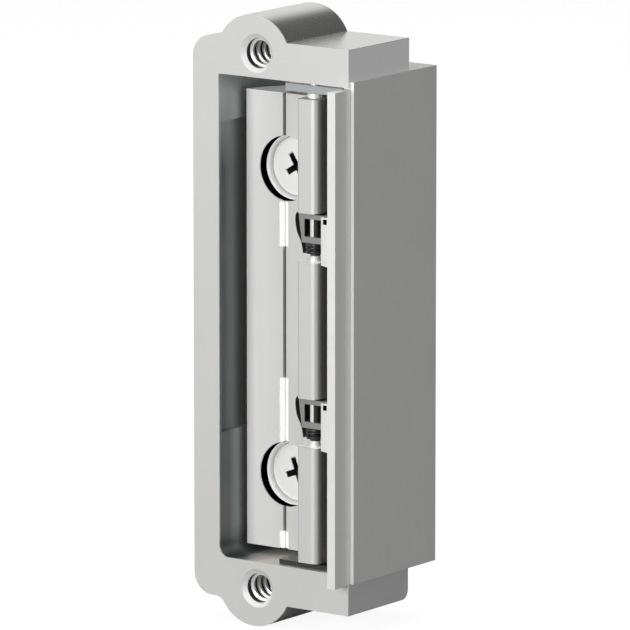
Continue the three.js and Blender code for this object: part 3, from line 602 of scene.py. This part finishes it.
def piece_from(name, bm, material, body, node=None, smooth=True):
    """A visible piece that rides on a body, in place of a CAD node if one is named."""
    piece = object_from(name, bm)
    mesh = piece.data
    mesh.polygons.foreach_set("use_smooth", [smooth] * len(mesh.polygons))
    mesh.materials.append(MATERIALS[material])
    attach(piece, body)
    if node:
        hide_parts(node)
        done.add(node)
    return piece


def skin_rings(bm, rings):
    """Joins rings of as many points each with quads, and closes both ends."""
    count = len(rings[0])
    for first, second in zip(rings, rings[1:]):
        for k in range(count):
            j = (k + 1) % count
            bm.faces.new((first[k], first[j], second[j], second[k]))
    bm.faces.new(rings[0])
    bm.faces.new(list(reversed(rings[-1])))


def frames_along(centres):
    """Two unit vectors across a path at each of its points, turning as little as they can."""
    frames = []
    u = None
    for k in range(len(centres)):
        ahead = centres[min(k + 1, len(centres) - 1)]
        behind = centres[max(k - 1, 0)]
        tangent = (ahead - behind).normalized()
        if u is None:
            u = tangent.orthogonal().normalized()
        u = (u - tangent * u.dot(tangent)).normalized()
        frames.append((u, tangent.cross(u)))
    return frames


def round_wire(bm, centres, radius, sides=12):
    rings = []
    for centre, (u, v) in zip(centres, frames_along(centres)):
        angles = [2 * math.pi * k / sides for k in range(sides)]
        rings.append([bm.verts.new(centre + (u * math.cos(a) + v * math.sin(a)) * radius) for a in angles])
    skin_rings(bm, rings)


def on_axis(axis, centre, u, v, along_axis):
    """A point beside an axis: u and v across it from its centre, and a place along it."""
    if axis == "y":
        return at(centre[0] + u, along_axis, centre[1] + v)
    if axis == "z":
        return at(centre[0] + u, centre[1] + v, along_axis)
    return at(along_axis, centre[0] + u, centre[1] + v)


def lathe(profile, axis, centre, segments=64):
    """A bmesh from (radius, place) points, turned about an axis through centre."""
    bm = bmesh.new()
    rings = []
    for radius, place in profile:
        if radius < 1e-6:
            rings.append([bm.verts.new(on_axis(axis, centre, 0, 0, place))])
            continue
        ring = []
        for k in range(segments):
            a = 2 * math.pi * k / segments
            u, v = radius * math.cos(a), radius * math.sin(a)
            ring.append(bm.verts.new(on_axis(axis, centre, u, v, place)))
        rings.append(ring)
    for first, second in zip(rings, rings[1:]):
        for k in range(segments):
            j = (k + 1) % segments
            corners = []
            for ring, indices in ((first, (k, j)), (second, (j, k))):
                if len(ring) == 1:
                    corners.append(ring[0])
                else:
                    corners += [ring[i] for i in indices]
            bm.faces.new(corners)
    return bm


def carve(piece, cutter):
    """Cuts one object out of another at once, and removes the cutter."""
    step = piece.modifiers.new("carve", "BOOLEAN")
    step.object = cutter
    step.operation = "DIFFERENCE"
    step.solver = "EXACT"
    bpy.context.view_layer.update()
    graph = bpy.context.evaluated_depsgraph_get()
    mesh = bpy.data.meshes.new_from_object(piece.evaluated_get(graph))
    piece.modifiers.clear()
    old = piece.data
    piece.data = mesh
    bpy.data.meshes.remove(old)
    bpy.data.objects.remove(cutter)
    mesh.polygons.foreach_set("use_smooth", [True] * len(mesh.polygons))


def cut_cross(screw, x, z, face, depth, reach, half, towards, degrees):
    """Cuts a tapered cross recess.

    reach and half are half the length and half the width of its arms, and towards is +1 when
    the screw points to +Y.
    """
    overcut = 0.3
    for turn in (degrees, degrees + 90):
        bm = bmesh.new()
        rings = []
        for y, share in ((face - towards * overcut, 1.08), (face + towards * depth, 0.4)):
            r, h = reach * share, half * (0.7 + 0.3 * share)
            corners = [(-r, -h), (r, -h), (r, h), (-r, h)]
            rings.append([bm.verts.new(at(x + a, y, z + b)) for a, b in corners])
        skin_rings(bm, rings)
        centre = at(x, 0, z)
        spin = Matrix.Rotation(math.radians(turn), 4, "Y")
        move = Matrix.Translation(centre) @ spin @ Matrix.Translation(-centre)
        bmesh.ops.transform(bm, matrix=move, verts=bm.verts)
        carve(screw, object_from("cutter", bm))


# ---- Keeper screws -------------------------------------------------------------------------
def keeper_screw(node, degrees):
    """A pan head with a low crown; degrees turns its cross."""
    x, z, r, face, tail = round_about_y(node)
    head_height, shank_r, tip_r = 1.8, 2.4, 2.1
    crown = [(0, 0), (r * 0.5, 0), (r * 0.9, 0.03), (r * 0.955, 0.12), (r * 0.985, 0.27)]
    skirt = [(r, 0.5), (r, 1.3), (r, head_height), (shank_r, head_height)]
    profile = [(radius, face + depth) for radius, depth in crown + skirt]
    profile += [(shank_r, tail - 0.3), (tip_r, tail), (0, tail)]
    screw = piece_from(node + "_fine", lathe(profile, "y", (x, z)), "keeper_screw", "keeper", node)
    cut_cross(screw, x, z, face, depth=1.5, reach=2.6, half=0.52, towards=1, degrees=degrees)
    soften(screw, 0.06, 2)


for node_name, turned in zip(KEEPER_SCREWS, (-32, -20)):
    keeper_screw(node_name, turned)


# ---- Small screws --------------------------------------------------------------------------
def small_screw(node, towards, kind, height, shank, degrees):
    """A pan or flat head along Y; towards is +1 when the tip points to +Y."""
    x, z, r, front, back = round_about_y(node)
    face, tip = (front, back) if towards > 0 else (back, front)
    if kind == "pan":
        head = [(0, 0), (r * 0.6, 0.03), (r * 0.88, height * 0.2), (r, height * 0.5), (r, height)]
    else:
        head = [(0, 0), (r * 0.96, 0), (r, 0.05)]
    profile = [(radius, face + towards * depth) for radius, depth in head + [(shank, height)]]
    profile += [(shank, tip - towards * 0.2), (shank * 0.8, tip), (0, tip)]
    screw = piece_from(node + "_fine", lathe(profile, "y", (x, z), 40), "screw", CASE, node)
    cut_cross(screw, x, z, face, r * 0.38, r * 0.55, r * 0.11, towards, degrees)
    soften(screw, 0.03, 2)


COVER_TURNS = {"top_left": 20, "top_right": -8, "bottom_left": 41, "bottom_right": 3}
for corner_name, turned in COVER_TURNS.items():
    small_screw("cover_screw_" + corner_name, -1, "flat", 0.93, 1.2, turned)
for side_name, turned in (("left", 15), ("right", -30)):
    small_screw("yoke_screw_" + side_name, 1, "pan", 1.3, 1.0, turned)
    small_screw("switch_screw_" + side_name, 1, "pan", 0.9, 0.8, turned)


# ---- Springs -------------------------------------------------------------------------------
WIRE_R = 0.25


def leg(end, places):
    """Points of a straight leg that leaves a coil along its tangent."""
    u, v, w, angle = end
    return [(u - place * math.sin(angle), v + place * math.cos(angle), w) for place in places]


def torsion_spring(node, axis, centre, radius, turns, legs, phase):
    """Round wire wound about an axis between the ends of its CAD node, with two straight legs."""
    per_turn, leg_steps = 40, 6
    low, high = (corner["xyz".index(axis)] for corner in box_mm(node))
    low, high = low + WIRE_R, high - WIRE_R
    steps = int(turns * per_turn)
    coil = []
    for k in range(steps + 1):
        t = k / steps
        angle = phase + t * turns * 2 * math.pi
        coil.append((radius * math.cos(angle), radius * math.sin(angle), low + (high - low) * t, angle))
    path = leg(coil[0], [-legs[0] * k / leg_steps for k in range(leg_steps, 0, -1)])
    path += [point[:3] for point in coil]
    path += leg(coil[-1], [legs[1] * k / leg_steps for k in range(1, leg_steps + 1)])
    bm = bmesh.new()
    round_wire(bm, [on_axis(axis, centre, u, v, w) for u, v, w in path], WIRE_R * MM)
    piece_from(node + "_fine", bm, "spring", CASE, node)


hinge = pivot_mm("keeper_swing")
for side_name in ("upper", "lower"):
    torsion_spring(
        "keeper_spring_" + side_name, "z", (hinge.x, hinge.y), 1.25, 2.1, (5.5, 1.2), 0.5 * math.pi
    )
for node_name, joint_name, coil_r, start_angle in (
    ("armature_spring", "armature_turn", 1.2, math.pi),
    ("lever_spring", "lock_lever_turn", 1.5, 0.0),
):
    pivot = pivot_mm(joint_name)
    torsion_spring(node_name, "x", (pivot.y, pivot.z), coil_r, 4.25, (2.0, 2.2), start_angle)


# ---- Windings ------------------------------------------------------------------------------
def winding(side):
    """A copper sleeve whose outside shows its turns of wire."""
    node = "winding_" + side
    low, high = box_mm(node)
    centre = ((low.x + high.x) / 2, (low.y + high.y) / 2)
    outer = (high.x - low.x) / 2
    inner = outer - 1.05
    wire_pitch = 0.34
    wire_outline = ((0.08, 0.12), (0.3, 0.02), (0.5, 0.0), (0.7, 0.02), (0.92, 0.12))
    count = int((high.z - low.z) / wire_pitch)
    step = (high.z - low.z) / count
    profile = [(inner, high.z), (inner, low.z)]
    for k in range(count):
        profile += [(outer - sunk, low.z + step * (k + share)) for share, sunk in wire_outline]
    profile.append((inner, high.z))
    bm = lathe(profile, "z", centre, 40)
    bmesh.ops.remove_doubles(bm, verts=bm.verts, dist=0.001 * MM)
    piece_from(node + "_turns", bm, "copper", CASE, node)


winding("left")
winding("right")


# ---- Leads ---------------------------------------------------------------------------------
def lead(node, material):
    """The CAD wire, rounded by subdivision."""
    piece = dress(node, material)
    weld_corners(piece)
    smooth = piece.modifiers.new("smooth_wire", "SUBSURF")
    smooth.levels = 2
    smooth.render_levels = 2
    done.add(node)


lead("lead_left", "lead_red")
lead("lead_right", "lead_black")


# ---- Threads in the ears -------------------------------------------------------------------
def ear_thread(side):
    """Turns of a cut thread standing in the bore of one ear."""
    x, z = FIXING_X, FIXING_Z if side == "upper" else -FIXING_Z
    pitch, start, end, per_turn = 1.6, 1.15, 15.4, 40
    root_r, crest_r = FIXING_R + 0.04, FIXING_R - 0.42
    outline = ((root_r, -0.42), (crest_r, -0.22), (crest_r, 0.22), (root_r, 0.42))
    bm = bmesh.new()
    rows = []
    for k in range(int((end - start) / pitch * per_turn) + 1):
        angle = 2 * math.pi * k / per_turn
        y = start + pitch * k / per_turn
        row = []
        for radius, shift in outline:
            u, v = radius * math.cos(angle), radius * math.sin(angle)
            row.append(bm.verts.new(at(x + u, y + shift, z + v)))
        rows.append(row)
    skin_rings(bm, rows)
    piece = piece_from("ear_thread_" + side, bm, "thread", CASE, smooth=False)


ear_thread("upper")
ear_thread("lower")

left_over = sorted(set(frame["nodes"]) - done)
assert not left_over, left_over


# ---- Stage, light and camera ---------------------------------------------------------------
def light_path_mix(tree, seen, unseen, output):
    """Shows one shader to the camera and another to every other ray."""
    path = tree.nodes.new("ShaderNodeLightPath")
    mix = tree.nodes.new("ShaderNodeMixShader")
    tree.links.new(path.outputs["Is Camera Ray"], mix.inputs[0])
    tree.links.new(unseen, mix.inputs[1])
    tree.links.new(seen, mix.inputs[2])
    tree.links.new(mix.outputs[0], output)


# Each lobe of the sky: where it points, the cosines at which it starts and is full, and the
# light it adds below and above them.
SKY = (
    ((-0.5, -0.86, 0.05), 0.0, 0.85, 0.2, 0.72),
    ((-0.6, 0.75, 0.15), 0.75, 0.97, 0.0, 0.5),
    ((0.3, 0.79, 0.5), 0.75, 0.93, 0.0, -0.2),
)


def sky_lobe(tree, direction, toward, start, end, low, high):
    dot = tree.nodes.new("ShaderNodeVectorMath")
    dot.operation = "DOT_PRODUCT"
    dot.inputs[1].default_value = Vector(toward).normalized()
    tree.links.new(direction, dot.inputs[0])
    span = tree.nodes.new("ShaderNodeMapRange")
    span.interpolation_type = "SMOOTHSTEP"
    for socket, value in (("From Min", start), ("From Max", end), ("To Min", low), ("To Max", high)):
        span.inputs[socket].default_value = value
    tree.links.new(dot.outputs["Value"], span.inputs["Value"])
    return span.outputs["Result"]


def studio_world():
    """White to the camera; to the object, a soft studio that is bright in front and dark behind."""
    world = bpy.data.worlds.new("studio")
    world.use_nodes = True
    tree = world.node_tree
    tree.nodes.clear()
    output = tree.nodes.new("ShaderNodeOutputWorld")
    direction = tree.nodes.new("ShaderNodeTexCoord").outputs["Generated"]
    level = sky_lobe(tree, direction, *SKY[0])
    for lobe in SKY[1:]:
        total = tree.nodes.new("ShaderNodeMath")
        total.operation = "ADD"
        tree.links.new(level, total.inputs[0])
        tree.links.new(sky_lobe(tree, direction, *lobe), total.inputs[1])
        level = total.outputs["Value"]
    lit = tree.nodes.new("ShaderNodeBackground")
    lit.inputs["Color"].default_value = (1.0, 1.0, 0.99, 1)
    tree.links.new(level, lit.inputs["Strength"])
    white = tree.nodes.new("ShaderNodeBackground")
    white.inputs["Color"].default_value = grey(1)
    light_path_mix(tree, white.outputs[0], lit.outputs[0], output.inputs["Surface"])
    bpy.context.scene.world = world


def floor_material():
    """White to the camera apart from a faint shadow, and plain grey to the object."""
    glow_share, glow_strength, unseen_level = 0.8, 1.13, 0.22
    n = Nodes("pale_floor")
    n.set(base_color=n.mix(n.noise(3.0, 2.0), grey(0.80), grey(0.84)), roughness=0.9)
    glow = n.add("ShaderNodeEmission")
    glow.inputs["Color"].default_value = grey(1)
    glow.inputs["Strength"].default_value = glow_strength
    seen = n.add("ShaderNodeMixShader")
    seen.inputs[0].default_value = glow_share
    n.link(n.surface.outputs["BSDF"], seen.inputs[1])
    n.link(glow.outputs["Emission"], seen.inputs[2])
    dull = n.add("ShaderNodeBsdfDiffuse")
    dull.inputs["Color"].default_value = grey(unseen_level)
    light_path_mix(n.tree, seen.outputs[0], dull.outputs["BSDF"], n.output.inputs["Surface"])
    return n.material


def studio_floor():
    """A pale sheet just under the strike."""
    reach, gap = 3.0, 0.02 * MM
    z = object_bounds()[0].z - gap
    corners = [(-reach, -reach), (reach, -reach), (reach, reach), (-reach, reach)]
    mesh = bpy.data.meshes.new("studio_floor")
    mesh.from_pydata([(x, y, z) for x, y in corners], [], [(0, 1, 2, 3)])
    mesh.materials.append(floor_material())
    floor = bpy.data.objects.new("studio_floor", mesh)
    bpy.context.scene.collection.objects.link(floor)
    floor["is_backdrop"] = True


def area_light(name, place, size, power):
    """A rectangular lamp that points at the middle of the strike; place and size in metres."""
    data = bpy.data.lights.new(name, "AREA")
    data.shape = "RECTANGLE"
    data.size, data.size_y = size
    data.energy = power
    lamp = bpy.data.objects.new(name, data)
    bpy.context.scene.collection.objects.link(lamp)
    lamp.location = place
    lamp.rotation_mode = "QUATERNION"
    lamp.rotation_quaternion = (-Vector(place)).to_track_quat("-Z", "Y")


def three_quarter_camera():
    """A long lens, to the right of the front and a little above it."""
    azimuth, elevation = math.radians(36.24), math.radians(10.63)
    distance, shift_right, shift_up = 1250.9 * MM, 1.06 * MM, 0.12 * MM
    data = bpy.data.cameras.new("camera")
    data.sensor_width = 36.0
    data.lens = 441.0
    data.clip_start, data.clip_end = 0.05, 20.0
    camera = bpy.data.objects.new("camera", data)
    bpy.context.scene.collection.objects.link(camera)
    level = math.cos(elevation)
    back = Vector((math.sin(azimuth) * level, -math.cos(azimuth) * level, math.sin(elevation)))
    right = Vector((math.cos(azimuth), math.sin(azimuth), 0))
    up = back.cross(right)
    centre = (cad_box[0] + cad_box[1]) / 2
    camera.location = centre + back * distance + right * shift_right + up * shift_up
    camera.rotation_mode = "QUATERNION"
    camera.rotation_quaternion = (-back).to_track_quat("-Z", "Y")
    bpy.context.scene.camera = camera


studio_world()
studio_floor()
area_light("key_front", (-0.05, -0.9, 0.14), (0.6, 0.36), 6.8)
area_light("right_fill", (0.9, -0.12, 0.06), (0.5, 0.7), 5.5)
area_light("top_soft", (0.0, 0.05, 0.7), (0.5, 0.5), 2.4)
three_quarter_camera()
bpy.context.scene.view_settings.view_transform = "Standard"
